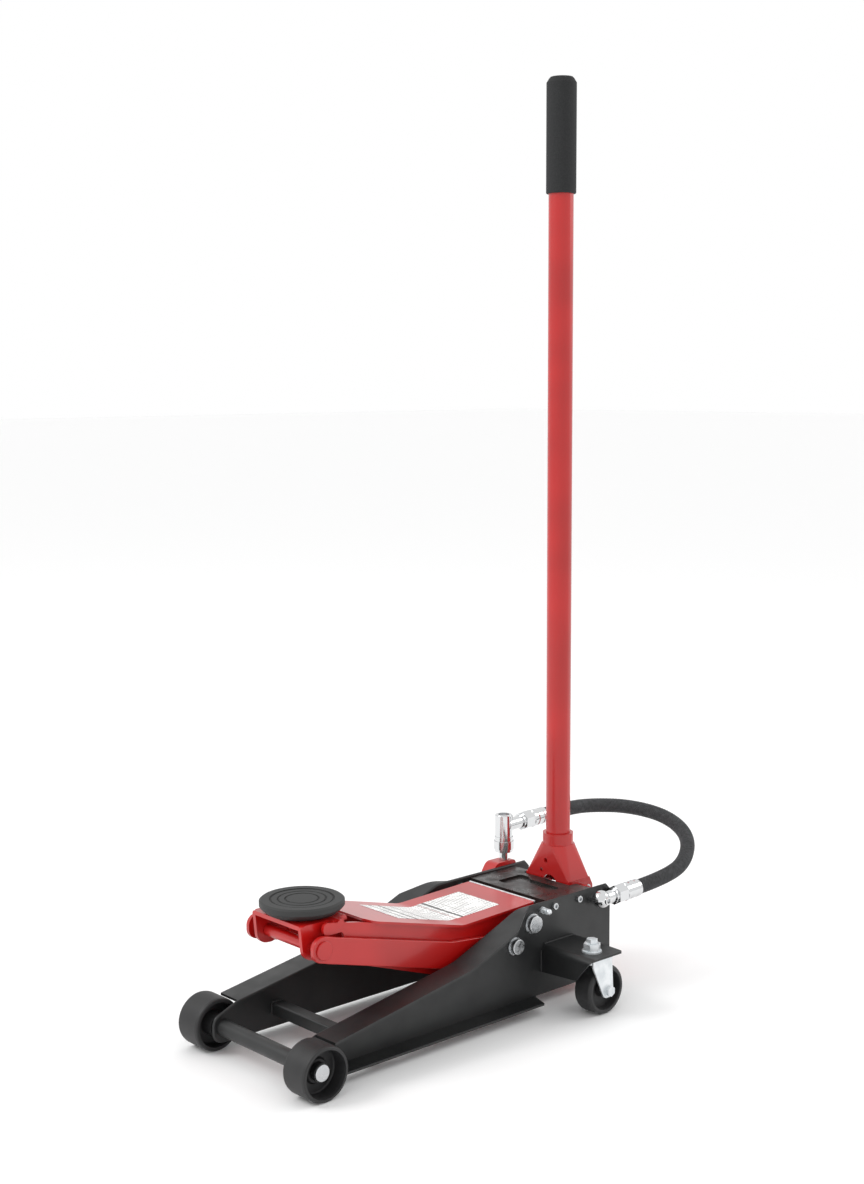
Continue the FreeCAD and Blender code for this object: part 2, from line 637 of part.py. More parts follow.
def spring_posts():
    """Studs in the front of the pump block that hold the rear hooks of the return springs."""
    _, z = lever_pin_place()
    post = rod_y(SPRING_X, z, 3.0, 196, BLOCK_FRONT)
    return both_sides(fuse(post, rod_y(SPRING_X, z, 5.0, 194, 196)))


def return_springs():
    """Extension springs that pull the arm down when the valve is opened, with an eye at each end."""
    y, z = lever_pin_place()
    start, end = y + 6.5, 188.0
    spring = coil(5.0, 0.9, V(SPRING_X, start, z), end - start, 14, V(0, 1, 0))
    front = ring_x(y, z, 6.0, 4.3, SPRING_X - 0.9, SPRING_X + 0.9)
    rear = ring_y(SPRING_X, z, 5.8, 3.2, end + 1.2, end + 3)
    return Part.makeCompound([both_sides(spring), both_sides(front), both_sides(rear)])


# ---- levelling links ----------------------------------------------------------------------
LINK_IN, LINK_OUT = 58.5, 64.0


def link():
    """Cranked flat bar outside the arm, with rounded ends."""
    y0, z0 = LINK_FRONT
    y1, z1 = LINK_PIVOT
    half = 15.5
    outline = [(y0 - 15, z0 - 11, 13), (y0 + 4, z0 - half - 1, 40), (-14, 82, 50), (y1 + 10, z1 - 13, 11),
               (y1 + 13, z1 + 12, 11), (-5, 114, 50), (y0 + 2, z0 + half, 30), (y0 - 15, z0 + 16, 13)]
    bar = side_plate(outline, LINK_IN, LINK_OUT)
    bar = bar.makeFillet(1.0, [e for e in bar.Edges if abs(e.CenterOfMass.x - LINK_OUT) < 0.01])
    return bar.cut([rod_x(y0, z0, LINK_SHAFT_R + 0.02, 50, 70), rod_x(y1, z1, LINK_BOLT_R + RUN, 50, 70)])


def link_shaft():
    """Shaft across both links and the saddle carrier, closed by flat round heads."""
    bar = rod_x(*LINK_FRONT, LINK_SHAFT_R, -LINK_OUT, LINK_OUT)
    head = rod_x(*LINK_FRONT, 11.0, LINK_OUT, LINK_OUT + 2.2)
    head = head.makeFillet(1.0, [e for e in head.Edges if abs(e.CenterOfMass.x - LINK_OUT - 2.2) < 0.01])
    return fuse(bar, head, mirrored(head))


# ---- saddle -------------------------------------------------------------------------------
CARRIER_TOP = 176.0
STEM_R = 9.0


def saddle_carrier():
    """Bent bracket under the saddle: level plate, two cheeks and a trunnion on each side."""
    y0, z0 = LINK_FRONT
    y1, z1 = ARM_FRONT
    out, inside = 45.5, 40.5
    cheek = [(y0 - 19, CARRIER_TOP, 6), (y0 - 15, z0 - 14, 15), (y0 + 10, z0 - 16, 15), (y0 + 24, z0 + 2, 20),
             (y1 + 12, z1 - 10, 10), (y1 + 12, CARRIER_TOP, 4)]
    cheek = side_plate(cheek, inside, out)
    plate = box(-out, out, y0 - 19, SADDLE_Y + 30, CARRIER_TOP - 5, CARRIER_TOP)
    plate = plate.makeFillet(4.0, [e for e in plate.Edges if abs(e.CenterOfMass.z - CARRIER_TOP) < 0.01
                                   and abs(abs(e.CenterOfMass.x) - out) < 0.01])
    boss = rod_x(y1, z1, 9.0, inside, ARM_WEB_IN - 0.5).cut(box(0, 60, y1 - 20, y1 + 20, CARRIER_TOP, 200))
    trunnion = fuse(rod_x(y1, z1, TRUNNION_R, inside, ARM_WEB_OUT), boss)
    carrier = fuse(plate, cheek, mirrored(cheek), trunnion, mirrored(trunnion))
    return carrier.cut([rod_x(y0, z0, LINK_SHAFT_R + FREE, -60, 60),
                        rod_z(0, SADDLE_Y, STEM_R + RUN, 160, 180)])


def saddle_plate():
    """Steel dish that carries the pad, with the stem it turns on."""
    z = CARRIER_TOP + 0.4
    profile = [(z - 14, 0), (z - 14, STEM_R - 1), (z - 13, STEM_R), (z, STEM_R), (z, 34), (z + 2, 38),
               (z + 5.5, 40), (z + 5.5, 0)]
    dish = turned(profile, V(0, SADDLE_Y, 0), V(0, 0, 1))
    groove = ring_z(0, SADDLE_Y, STEM_R + 1, STEM_R - 1.2, z - 8.2, z - 6.6)
    return dish.cut(groove)


def saddle_clip():
    z = CARRIER_TOP + 0.4
    return ring_z(0, SADDLE_Y, 13.0, STEM_R - 1.2, z - 8.2, z - 6.6)


def saddle_pad():
    """Moulded rubber pad with a raised rim and ring grooves in its top."""
    z, top, r = CARRIER_TOP + 0.4, SADDLE_TOP, SADDLE_R
    under = z + 1.4
    profile = [(under, 39), (under, 41.5), (under + 5.0, r - 2.2), (under + 7.5, r), (top - 1.8, r),
               (top, r - 2.4), (top, 38.4), (top - 1.4, 37.6), (top - 1.4, 36.2), (top - 0.5, 35.6),
               (top - 0.5, 29.4), (top - 1.6, 28.8), (top - 1.6, 27.4), (top - 0.5, 26.8), (top - 0.5, 20.8),
               (top - 1.6, 20.2), (top - 1.6, 18.8), (top - 0.5, 18.2), (top - 0.5, 0), (z + 5.5, 0),
               (z + 5.5, 40)]
    return turned(profile, V(0, SADDLE_Y, 0), V(0, 0, 1))


# ---- handle -------------------------------------------------------------------------------
CHEEK_IN, CHEEK_OUT = 34.0, 39.0


def ring_wire(half_x, half_y, r, z, y=HANDLE_Y):
    wire = rounded_face([(-half_x, y - half_y, r), (half_x, y - half_y, r), (half_x, y + half_y, r),
                         (-half_x, y + half_y, r)]).OuterWire
    wire.translate(V(0, 0, z))
    return wire


def handle_socket():
    """Welded socket: collar round the tube, flared skirt, pivot cheeks below."""
    collar = ring_z(0, HANDLE_Y, COLLAR_R, HANDLE_R + RUN, 150, COLLAR_TOP)
    flare = Part.makeLoft([ring_wire(20.2, 20.2, 16, 178), ring_wire(CHEEK_OUT, 20, 4, 136)], True, True)
    hollow = Part.makeLoft([ring_wire(15.9, 15.9, 12, 178.5), ring_wire(CHEEK_IN, 16.5, 2, 135.5)], True, True)
    skirt = flare.cut([hollow, rod_z(0, HANDLE_Y, HANDLE_R + RUN, 130, 200)])
    cheek = side_plate([(HANDLE_Y - 20, 136, 0), (HANDLE_Y - 20, 122, 8), (HANDLE_Y - 12, 98, 10),
                        (HANDLE_Y + 12, 98, 10), (HANDLE_Y + 24, 110, 8), (HANDLE_Y + 26, 124, 6),
                        (HANDLE_Y + 20, 136, 0)],
                       CHEEK_IN, CHEEK_OUT)
    bridge = box(-CHEEK_IN, CHEEK_IN, HANDLE_Y - 20, HANDLE_Y - 16.5, 128, 136.2)
    arch = rod_y(4, 126, 13, HANDLE_Y - 25, HANDLE_Y - 10)
    socket = fuse(collar, skirt, cheek, mirrored(cheek), bridge)
    holes = [rod_x(HANDLE_Y, HANDLE_PIVOT_Z, 6.0 + RUN, -60, 60), rod_x(*roller_place(), 4.0, -60, 60),
             rod_y(-3, 157, 3.0, 215, 232), rod_y(-11, 143, 2.6, 215, 235), arch]
    return socket.cut(holes)


def socket_bolts():
    """Shoulder bolts on which the socket swings, one each side, leaving the middle clear."""
    y, z = HANDLE_Y, HANDLE_PIVOT_Z
    head = hex_nut(19.0, 6.0, EAR_OUT, y, z, V(1, 0, 0))
    return both_sides(fuse(rod_x(y, z, 6.0, 31, EAR_OUT + 1), head))


def pump_roller():
    y, z = roller_place()
    roller = ring_x(y, z, ROLLER_R, 4.05, -14, 14)
    pin = rod_x(y, z, 4.0, -CHEEK_OUT - 0.5, CHEEK_OUT + 0.5)
    return Part.makeCompound([roller, pin])


def handle_tube():
    return ring_z(0, HANDLE_Y, HANDLE_R, HANDLE_R - 2.0, 152, HANDLE_TOP - 8)


def handle_grip():
    z1, z0 = HANDLE_TOP, HANDLE_TOP - GRIP_LENGTH
    profile = [(z0, HANDLE_R), (z0, GRIP_R - 0.8), (z0 + 1, GRIP_R), (z1 - 7, GRIP_R), (z1 - 1.5, GRIP_R - 3.4),
               (z1, GRIP_R - 5), (z1, 0), (z1 - 8, 0), (z1 - 8, HANDLE_R)]
    return turned(profile, V(0, HANDLE_Y, 0), V(0, 0, 1))


# ---- pressure hose ------------------------------------------------------------------------
HOSE_ROUTE = [(87, 307, 123.5), (87, 354, 125), (90, 401, 137.5), (57, 451, 159.5), (0.5, 470.5, 175),
              (-56, 451, 183), (-88.5, 401, 186.5), (-87, 353, 189.5), (-84, 305, 189.5)]


def hose_path(points):
    """Straight runs joined by tangent arcs, each as large as its two runs allow."""
    places = [V(*p) for p in points]
    edges = []
    radii = []
    here = places[0]
    for i in range(1, len(places) - 1):
        back = places[i - 1] - places[i]
        ahead = places[i + 1] - places[i]
        shorter = min(back.Length, ahead.Length)
        half_open = back.getAngle(ahead) / 2
        cut = 0.49 * shorter
        radius = cut * math.tan(half_open)
        radii.append(radius)
        to_back = back.normalize()
        to_ahead = ahead.normalize()
        start = places[i] + to_back * cut
        end = places[i] + to_ahead * cut
        bisector = (to_back + to_ahead).normalize()
        middle = places[i] + bisector * (radius / math.sin(half_open) - radius)
        edges.append(Part.LineSegment(here, start).toShape())
        edges.append(Part.Arc(start, middle, end).toShape())
        here = end
    edges.append(Part.LineSegment(here, places[-1]).toShape())
    return Part.Wire(edges), radii


def hose():
    path, radii = hose_path(HOSE_ROUTE)
    start = V(*HOSE_ROUTE[0])
    along = V(*HOSE_ROUTE[1]) - start
    section = Part.Wire(Part.makeCircle(HOSE_R, start, along))
    tube = path.makePipeShell([section], True, False)
    expected = math.pi * HOSE_R ** 2 * path.Length
    print("hose length %.1f, volume %.0f of %.0f" % (path.Length, tube.Volume, expected))
    print("hose radii " + ", ".join("%.0f" % r for r in radii))
    return tube


def along_hose(shapes, end):
    """Places shapes built along +Z from the origin onto an end of the hose, pointing away from it."""
    tip = V(*HOSE_ROUTE[end])
    inner = V(*HOSE_ROUTE[1 if end == 0 else -2])
    place = FreeCAD.Placement(tip, FreeCAD.Rotation(V(0, 0, 1), tip - inner))
    moved = []
    for shape in shapes:
        copy = shape.copy()
        copy.Placement = place.multiply(copy.Placement)
        moved.append(copy)
    return moved


def ferrule():
    """Crimped sleeve with pressed rings; its flat back stands on the hose end."""
    low, high = HOSE_R + 0.7, HOSE_R + 1.5
    profile = [(0, 0), (0, low), (1, high), (7, high), (8, low), (11, low), (12, high), (18, high), (19, low),
               (22, low), (22.8, high + 0.3), (27.2, high + 0.3), (28, low), (28, 0)]
    return turned(profile, V(0, 0, 0), V(0, 0, 1))


def hose_ferrules():
    return Part.makeCompound(along_hose([ferrule()], 0) + along_hose([ferrule()], -1))


def swivel_nut(end, reach):
    """Union nut in line with a hose end, with the neck that carries it to its fitting."""
    nut = hexagon(22.6, 17.0)
    nut.rotate(V(0, 0, 0), V(0, 0, 1), 30)
    nut.translate(V(0, 0, 28.4))
    neck = Part.makeCylinder(8.6, reach - 28.2, V(0, 0, 28.2))
    shoulder = Part.makeCylinder(10.4, 4.0, V(0, 0, 45.4))
    return fuse(*along_hose([nut, neck, shoulder], end))


def fitting_right():
    """Ball-ended banjo that screws into the right side plate, with its union nut."""
    y, z = hose_port()
    x = HOSE_ROUTE[0][0]
    ball = Part.makeSphere(11.6, V(x, y, z), V(1, 0, 0))
    stub = rod_x(y, z, 5.0, 66, x)
    collar = rod_x(y, z, 8.5, WEB_OUT, x - 5)
    plug = rod_x(y, z, 5.0, x + 9, x + 13)
    recess = hex_nut(6.0, 4.0, x + 9.5, y, z, V(1, 0, 0))
    back_nut = ring_x(y, z, 8.0, 5.0, 66, WEB_IN)
    fitting = fuse(ball, stub, collar, plug, swivel_nut(0, 68)).cut(recess)
    return Part.makeCompound([fitting, back_nut])


def tee_left():
    """Upright swivel tee on the left: threaded stem, union nut, open top and side branch."""
    x, y = TEE_PLACE
    stem = fuse(rod_z(x, y, 5.0, 136, 160), rod_z(x, y, 6.4, 141.5, 160))
    nut = fuse(rod_z(x, y, 12.4, 153, 157), rod_z(x, y, 13.9, 157, 168), rod_z(x, y, 12.8, 168, 174))
    top = 204
    body = rod_z(x, y, 12.0, 174, top)
    body = body.makeFillet(1.2, [e for e in body.Edges if abs(e.CenterOfMass.z - top) < 0.01])
    bore = rod_z(x, y, 7.5, top - 4, top + 2)
    return fuse(stem, nut, body, swivel_nut(-1, 76)).cut(bore)


def valve_bracket():
    """Painted lug bolted outside the left side plate; the tee's stem screws into it."""
    x0, x1 = -97.0, -WEB_OUT
    lug = side_plate([(201, 108, 6), (243, 108, 6), (243, 141, 5), (207, 141, 12), (198, 128, 8)], x0, x1)
    lug = lug.makeFillet(2.0, [e for e in lug.Edges if abs(e.CenterOfMass.x - x0) < 0.01])
    return lug.cut(rod_z(*TEE_PLACE, 5.0, 120, 150))


NODES = {
    "cross_tie": cross_tie, "front_axle": front_axle, "axle_tube": axle_tube,
    "axle_washers": axle_washers, "rear_cover": rear_cover, "cover_screws": cover_screws,
    "grease_nipples": grease_nipples, "arm_shaft": arm_shaft, "link_bolts": link_bolts,
    "pivot_washers": pivot_washers, "pump_block": pump_block, "block_bolts": block_bolts,
    "ram_cylinder": ram_cylinder, "gland_nut": gland_nut, "reservoir": reservoir,
    "filler_plug": filler_plug, "ram_rod": ram_rod, "ram_yoke": ram_yoke,
    "pump_plunger": pump_plunger, "plunger_spring": plunger_spring, "release_valve": release_valve,
    "arm_webs": arm_webs, "arm_cover": arm_cover, "arm_pivot_tube": pivot_tube,
    "arm_levers": arm_levers, "lever_pin": lever_pin,
    "spring_posts": spring_posts, "return_springs": return_springs, "link_shaft": link_shaft,
    "saddle_carrier": saddle_carrier,
    "saddle_plate": saddle_plate, "saddle_pad": saddle_pad, "saddle_clip": saddle_clip,
    "handle_socket": handle_socket, "socket_bolts": socket_bolts, "pump_roller": pump_roller,
    "handle_tube": handle_tube, "handle_grip": handle_grip, "pressure_hose": hose,
    "hose_ferrules": hose_ferrules, "hose_fitting_right": fitting_right, "hose_tee_left": tee_left,
    "valve_bracket": valve_bracket,
}
PAIRS = {
    "front_wheel": front_wheel, "link": link, "caster_bracket": caster_bracket, "king_pin": king_pin,
    "caster_fork": caster_fork, "caster_axle": caster_axle, "caster_wheel": caster_wheel,
}

os.makedirs("parts", exist_ok=True)
for node, make in NODES.items():
    write(node, make())
for stem, make in PAIRS.items():
    write_pair(stem, make())
write("side_plate_right", frame_side(port=True))
write("side_plate_left", mirrored(frame_side(port=False)))
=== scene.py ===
import bpy
import math
from mathutils import Matrix, Vector


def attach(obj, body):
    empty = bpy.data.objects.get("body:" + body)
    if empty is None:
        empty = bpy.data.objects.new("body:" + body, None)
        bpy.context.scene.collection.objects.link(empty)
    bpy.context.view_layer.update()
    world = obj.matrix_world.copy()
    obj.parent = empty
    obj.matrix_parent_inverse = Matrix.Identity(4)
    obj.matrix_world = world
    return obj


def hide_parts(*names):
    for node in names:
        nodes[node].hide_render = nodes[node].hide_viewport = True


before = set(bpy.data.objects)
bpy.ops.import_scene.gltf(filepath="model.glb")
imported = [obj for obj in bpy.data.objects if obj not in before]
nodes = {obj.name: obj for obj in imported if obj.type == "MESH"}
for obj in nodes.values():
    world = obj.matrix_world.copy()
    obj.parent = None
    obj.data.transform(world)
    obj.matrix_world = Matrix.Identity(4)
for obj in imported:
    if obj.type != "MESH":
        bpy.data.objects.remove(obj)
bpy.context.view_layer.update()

bpy.ops.object.select_all(action="DESELECT")

# Camera: to the front right, a little above the top of the handle socket, long lens.
# The whole upright handle and the hose loop are in view.
camera_data = bpy.data.cameras.new("camera")
camera_data.lens = 52.69
camera_data.sensor_width = 36
camera = bpy.data.objects.new("camera", camera_data)
bpy.context.collection.objects.link(camera)
camera.matrix_world = (Matrix.Translation((1.549, -1.38735, 0.792))
                       @ Matrix.Rotation(math.radians(47.693), 4, "Z")
                       @ Matrix.Rotation(math.radians(82.948), 4, "X")
                       @ Matrix.Rotation(math.radians(-0.234), 4, "Z"))
bpy.context.scene.camera = camera


# Pressure hose: rubber tube, 20 mm across, in a woven textile braid. Crimped ferrules hold both ends.
# From the ball fitting on the right it swings round behind the handle and rises to the tee on the left.
hose_route = [(0.087, 0.307, 0.1235), (0.087, 0.354, 0.125), (0.090, 0.401, 0.1375), (0.057, 0.451, 0.1595),
              (0.0005, 0.4705, 0.175), (-0.056, 0.451, 0.183), (-0.0885, 0.401, 0.1865),
              (-0.087, 0.353, 0.1895), (-0.084, 0.305, 0.1895)]
liner_radius = 0.0093
strand_thickness = 0.00055
strands_each_way = 20
strand_turns = 9


def linear(colour):
    """An sRGB hex colour as the linear values a shader takes."""
    channels = [int(colour[i:i + 2], 16) / 255 for i in (0, 2, 4)]
    return [c / 12.92 if c <= 0.04045 else ((c + 0.055) / 1.055) ** 2.4 for c in channels] + [1.0]


def new_material(name, colour, roughness, metallic=0.0):
    """A Principled material with plain starting values: the material, its tree and its shader."""
    material = bpy.data.materials.new(name)
    material.use_nodes = True
    shader = material.node_tree.nodes["Principled BSDF"]
    shader.inputs["Base Color"].default_value = linear(colour)
    shader.inputs["Roughness"].default_value = roughness
    shader.inputs["Metallic"].default_value = metallic
    return material, material.node_tree, shader


def add(tree, kind, links, **values):
    """A node with its properties or input values set, fed by links of (input, source socket)."""
    node = tree.nodes.new(kind)
    for key, value in values.items():
        if key in node.inputs:
            node.inputs[key].default_value = value
        else:
            setattr(node, key, value)
    for socket, source in links:
        tree.links.new(source, node.inputs[socket])
    return node


def noise(tree, size_mm, detail=2.0):
    """Noise value with blotches about size_mm across, fixed to the piece."""
    place = add(tree, "ShaderNodeTexCoord", []).outputs["Object"]
    pattern = add(tree, "ShaderNodeTexNoise", [("Vector", place)], Scale=1000 / size_mm, Detail=detail)
    return pattern.outputs["Fac"]


def spread(tree, value, low, high):
    """The value's middle band stretched to run from low to high."""
    return add(tree, "ShaderNodeMapRange", [("Value", value)], **{
        "From Min": 0.35, "From Max": 0.65, "To Min": low, "To Max": high}).outputs["Result"]


def tint(tree, shader, value, first, second):
    """Base colour that runs from the first sRGB colour to the second with the value."""
    mix = add(tree, "ShaderNodeMix", [("Factor", value)], data_type="RGBA")
    first_colour, second_colour = mix.inputs[6], mix.inputs[7]
    first_colour.default_value, second_colour.default_value = linear(first), linear(second)
    tree.links.new(mix.outputs[2], shader.inputs["Base Color"])


def bump(tree, shader, height, depth_mm):
    """Relief of this depth in the shader's normal, from a height value."""
    node = add(tree, "ShaderNodeBump", [("Height", height)], Distance=depth_mm / 1000, Strength=1.0)
    tree.links.new(node.outputs["Normal"], shader.inputs["Normal"])


def dress(material, *names):
    """Gives CAD nodes this material in place of their plain slot colour."""
    for name in names:
        nodes[name].data.materials.clear()
        nodes[name].data.materials.append(material)


def route_curve(name):
    """The hose's centre line as one NURBS curve."""
    data = bpy.data.curves.new(name, "CURVE")
    data.dimensions = "3D"
    spline = data.splines.new("NURBS")
    spline.points.add(len(hose_route) - 1)
    for point, place in zip(spline.points, hose_route):
        point.co = (*place, 1)
    spline.order_u = 3
    spline.use_endpoint_u = True
    spline.resolution_u = 24
    piece = bpy.data.objects.new(name, data)
    bpy.context.collection.objects.link(piece)
    return piece


# Black liner under the braid: a dull rubber that only darkens the gaps between the strands.
hose_rubber, tree, shader = new_material("hose_rubber_liner", "0B0B0C", 0.8)
bump(tree, shader, noise(tree, 2.0), 0.08)
hose = route_curve("hose_liner")
hose.data.bevel_depth = liner_radius
hose.data.bevel_resolution = 8
hose.data.use_fill_caps = True
hose.data.materials.append(hose_rubber)
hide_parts("pressure_hose")
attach(hose, "frame")


def centre_line(piece):
    """Places along the hose's centre line, read from its curve without the bevel."""
    plain = piece.copy()
    plain.data = piece.data.copy()
    plain.data.bevel_depth = 0
    bpy.context.collection.objects.link(plain)
    bpy.context.view_layer.update()
    mesh = bpy.data.meshes.new_from_object(plain)
    places = [v.co.copy() for v in mesh.vertices]
    bpy.data.objects.remove(plain)
    return places


def braid(places, strands, turns, radius, thick):
    """Two crossing sets of flat strands wound round the line, each riding over and under the other."""
    data = bpy.data.curves.new("hose_braid_strands", "CURVE")
    data.dimensions = "3D"
    data.bevel_depth = thick
    data.bevel_resolution = 0
    steps = 639
    stations = []
    up = Vector((0, 0, 1))
    for i in range(steps + 1):
        at = i / steps * (len(places) - 1)
        low = min(int(at), len(places) - 2)
        place = places[low].lerp(places[low + 1], at - low)
        along = (places[low + 1] - places[low]).normalized()
        side = along.cross(up).normalized()
        stations.append((place, side, side.cross(along)))
    for direction in (1, -1):
        for strand in range(strands):
            spline = data.splines.new("POLY")
            spline.points.add(steps)
            for i, (place, side, top) in enumerate(stations):
                angle = math.tau * (strand / strands + direction * turns * i / steps)
                wave = math.cos(strands * turns * math.tau * i / steps + math.pi * strand)
                out = radius + direction * wave * thick * 0.5
                point = place + side * (out * math.cos(angle)) + top * (out * math.sin(angle))
                spline.points[i].co = (*point, 1)
    piece = bpy.data.objects.new("hose_braid_strands", data)
    bpy.context.collection.objects.link(piece)
    bpy.ops.object.select_all(action="DESELECT")
    piece.select_set(True)
    bpy.context.view_layer.objects.active = piece
    bpy.ops.object.convert(target="MESH")
    bpy.ops.object.shade_smooth()
    return piece


# Braid: fine black synthetic yarn, slightly greyer than the liner, with a soft sheen on each strand.
braid_yarn, tree, shader = new_material("black_woven_yarn", "3A3B3D", 0.5)
tint(tree, shader, spread(tree, noise(tree, 4.0, 4.0), 0, 1), "333436", "48494B")
weave = braid(centre_line(hose), strands_each_way, strand_turns, liner_radius, strand_thickness)
weave.data.materials.append(braid_yarn)
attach(weave, "frame")

# Hose fittings: ferrules, ball-ended banjo and upright tee, machined and bright chromium plated.
# The plating gives sharp reflections, a little softened by handling.
chrome, tree, shader = new_material("chromium_plate", "D6D7D8", 0.12, 1.0)
tree.links.new(spread(tree, noise(tree, 9.0, 4.0), 0.07, 0.16), shader.inputs["Roughness"])
dress(chrome, "hose_fitting_right", "hose_tee_left", "hose_ferrules")

# Side frames, cross tie, lid and caster brackets: pressed steel, powder coated satin black.
# A fine orange peel breaks up the highlights; faint grey dust lies in blotches.
frame_black, tree, shader = new_material("satin_black_powder_coat", "1B1C1D", 0.45)
tint(tree, shader, spread(tree, noise(tree, 60.0, 5.0), 0, 1), "171819", "222323")
tree.links.new(spread(tree, noise(tree, 35.0, 3.0), 0.36, 0.5), shader.inputs["Roughness"])
bump(tree, shader, noise(tree, 1.1, 1.0), 0.02)
dress(frame_black, "side_plate_right", "side_plate_left", "cross_tie", "axle_tube", "axle_washers",
      "caster_bracket_right", "caster_bracket_left", "reservoir")

# Lid over the hydraulic unit: the same coat, handled and greasy, so browner with rubbed blotches.
lid_black, tree, shader = new_material("greasy_black_powder_coat", "1D1917", 0.35)
tint(tree, shader, spread(tree, noise(tree, 26.0, 6.0), 0, 1), "14100F", "2F2B29")
tree.links.new(spread(tree, noise(tree, 14.0, 3.0), 0.22, 0.5), shader.inputs["Roughness"])
bump(tree, shader, noise(tree, 1.4, 2.0), 0.02)
dress(lid_black, "rear_cover")

# Lift arm, links, carrier, socket, handle tube, lug and pump block: gloss red enamel over steel.
# A clear top coat carries the highlight; faint waves in the steel bend it.
red_enamel, tree, shader = new_material("gloss_red_enamel", "AC0C0A", 0.34)
tint(tree, shader, spread(tree, noise(tree, 120.0, 2.0), 0, 1), "A40A08", "B9110F")
shader.inputs["Coat Weight"].default_value = 0.35
shader.inputs["Coat Roughness"].default_value = 0.12
bump(tree, shader, noise(tree, 7.0, 1.0), 0.02)
dress(red_enamel, "arm_webs", "arm_cover", "arm_pivot_tube", "arm_levers", "link_right", "link_left",
      "link_shaft", "saddle_carrier", "handle_socket", "handle_tube", "valve_bracket", "pump_block")

# Data panels on the arm cover: two thin printed films with dark borders, glued end to end. The front
# one runs down the slope and through the bend. The print is only rows of grey dashes, with no words.
row_pitch = 0.0044
row_height = 0.0007
dash_share = 0.46
film_thickness = 0.00015
film_border = 0.0014
film_lift = 0.00008
bend_y, bend_z, bend_radius = 0.017, 0.1294, 0.04
front_slope, rear_slope = 0.255, 0.031
panel_film, tree, shader = new_material("white_printed_film", "F4F4F2", 0.4)
place = add(tree, "ShaderNodeTexCoord", []).outputs["Object"]
axes = add(tree, "ShaderNodeSeparateXYZ", [("Vector", place)])
rows = add(tree, "ShaderNodeMath", [(0, axes.outputs["Y"])], operation="PINGPONG")
rows.inputs[1].default_value = row_pitch / 2
row_line = add(tree, "ShaderNodeMath", [(0, rows.outputs[0])], operation="LESS_THAN")
row_line.inputs[1].default_value = row_height
dashes = add(tree, "ShaderNodeMapping", [("Vector", place)])
dashes.inputs["Scale"].default_value = (1.0, 0.16, 0.1)
words = add(tree, "ShaderNodeTexNoise", [("Vector", dashes.outputs[0])], Scale=260.0, Detail=1.0)
broken = add(tree, "ShaderNodeMath", [(0, words.outputs["Fac"])], operation="GREATER_THAN")
broken.inputs[1].default_value = dash_share
print_mark = add(tree, "ShaderNodeMath", [(0, row_line.outputs[0]), (1, broken.outputs[0])],
                 operation="MULTIPLY")
tint(tree, shader, print_mark.outputs[0], "F2F2F0", "8A8A8C")
border_ink, tree, shader = new_material("dark_border_ink", "3C3A38", 0.42)
tint(tree, shader, spread(tree, noise(tree, 5.0), 0, 1), "33312F", "4B4947")


def settle(piece):
    """Bakes the piece's place, turn and size into its mesh."""
    bpy.ops.object.select_all(action="DESELECT")
    piece.select_set(True)
    bpy.context.view_layer.objects.active = piece
    bpy.ops.object.transform_apply(location=True, rotation=True, scale=True)


def sheet_top(y):
    """Height of the arm cover's upper face: slope, rounded bend, nearly level rear."""
    front_angle, rear_angle = math.atan(front_slope), math.atan(rear_slope)
    setback = bend_radius * math.tan((front_angle + rear_angle) / 2)
    arc_front = bend_y - setback * math.cos(front_angle)
    arc_rear = bend_y + setback * math.cos(rear_angle)
    centre_y = arc_rear - bend_radius * math.sin(rear_angle)
    centre_z = bend_z + setback * math.sin(rear_angle) + bend_radius * math.cos(rear_angle)
    if y < arc_front:
        return bend_z + (bend_y - y) * front_slope
    if y < arc_rear:
        return centre_z - math.sqrt(bend_radius ** 2 - (y - centre_y) ** 2)
    return bend_z + (y - bend_y) * rear_slope


def film(name, front, rear, width, bars):
    """Thin film that follows the cover from front to rear, with a dark border and dark bars."""
    bpy.ops.object.select_all(action="DESELECT")
    strips = round((rear - front) / 0.001)
    bpy.ops.mesh.primitive_grid_add(x_subdivisions=2, y_subdivisions=strips, size=1)
    piece = bpy.context.object
    piece.name = name
    piece.scale = (width, rear - front, 1)
    piece.location = (-0.001, (front + rear) / 2, 0)
    settle(piece)
    piece.data.materials.append(panel_film)
    piece.data.materials.append(border_ink)
    bpy.ops.object.mode_set(mode="EDIT")
    bpy.ops.mesh.select_all(action="SELECT")
    bpy.ops.mesh.inset(thickness=film_border, use_boundary=True)
    bpy.ops.mesh.select_all(action="INVERT")
    piece.active_material_index = 1
    bpy.ops.object.material_slot_assign()
    bpy.ops.mesh.select_all(action="SELECT")
    bpy.ops.mesh.extrude_region_move(TRANSFORM_OT_translate={"value": (0, 0, film_thickness)})
    bpy.ops.object.mode_set(mode="OBJECT")
    for face in piece.data.polygons:
        if any(low < face.center.y < high for low, high in bars):
            face.material_index = 1
    for vertex in piece.data.vertices:
        vertex.co.z += sheet_top(vertex.co.y) + film_lift
    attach(piece, "lift_arm")


film("data_panel_front", -0.066, 0.0282, 0.073,
     ((-0.052, -0.050), (-0.038, -0.034), (-0.018, -0.016)))
film("data_panel_rear", 0.0292, 0.102, 0.075, ((0.036, 0.039), (0.052, 0.0532)))

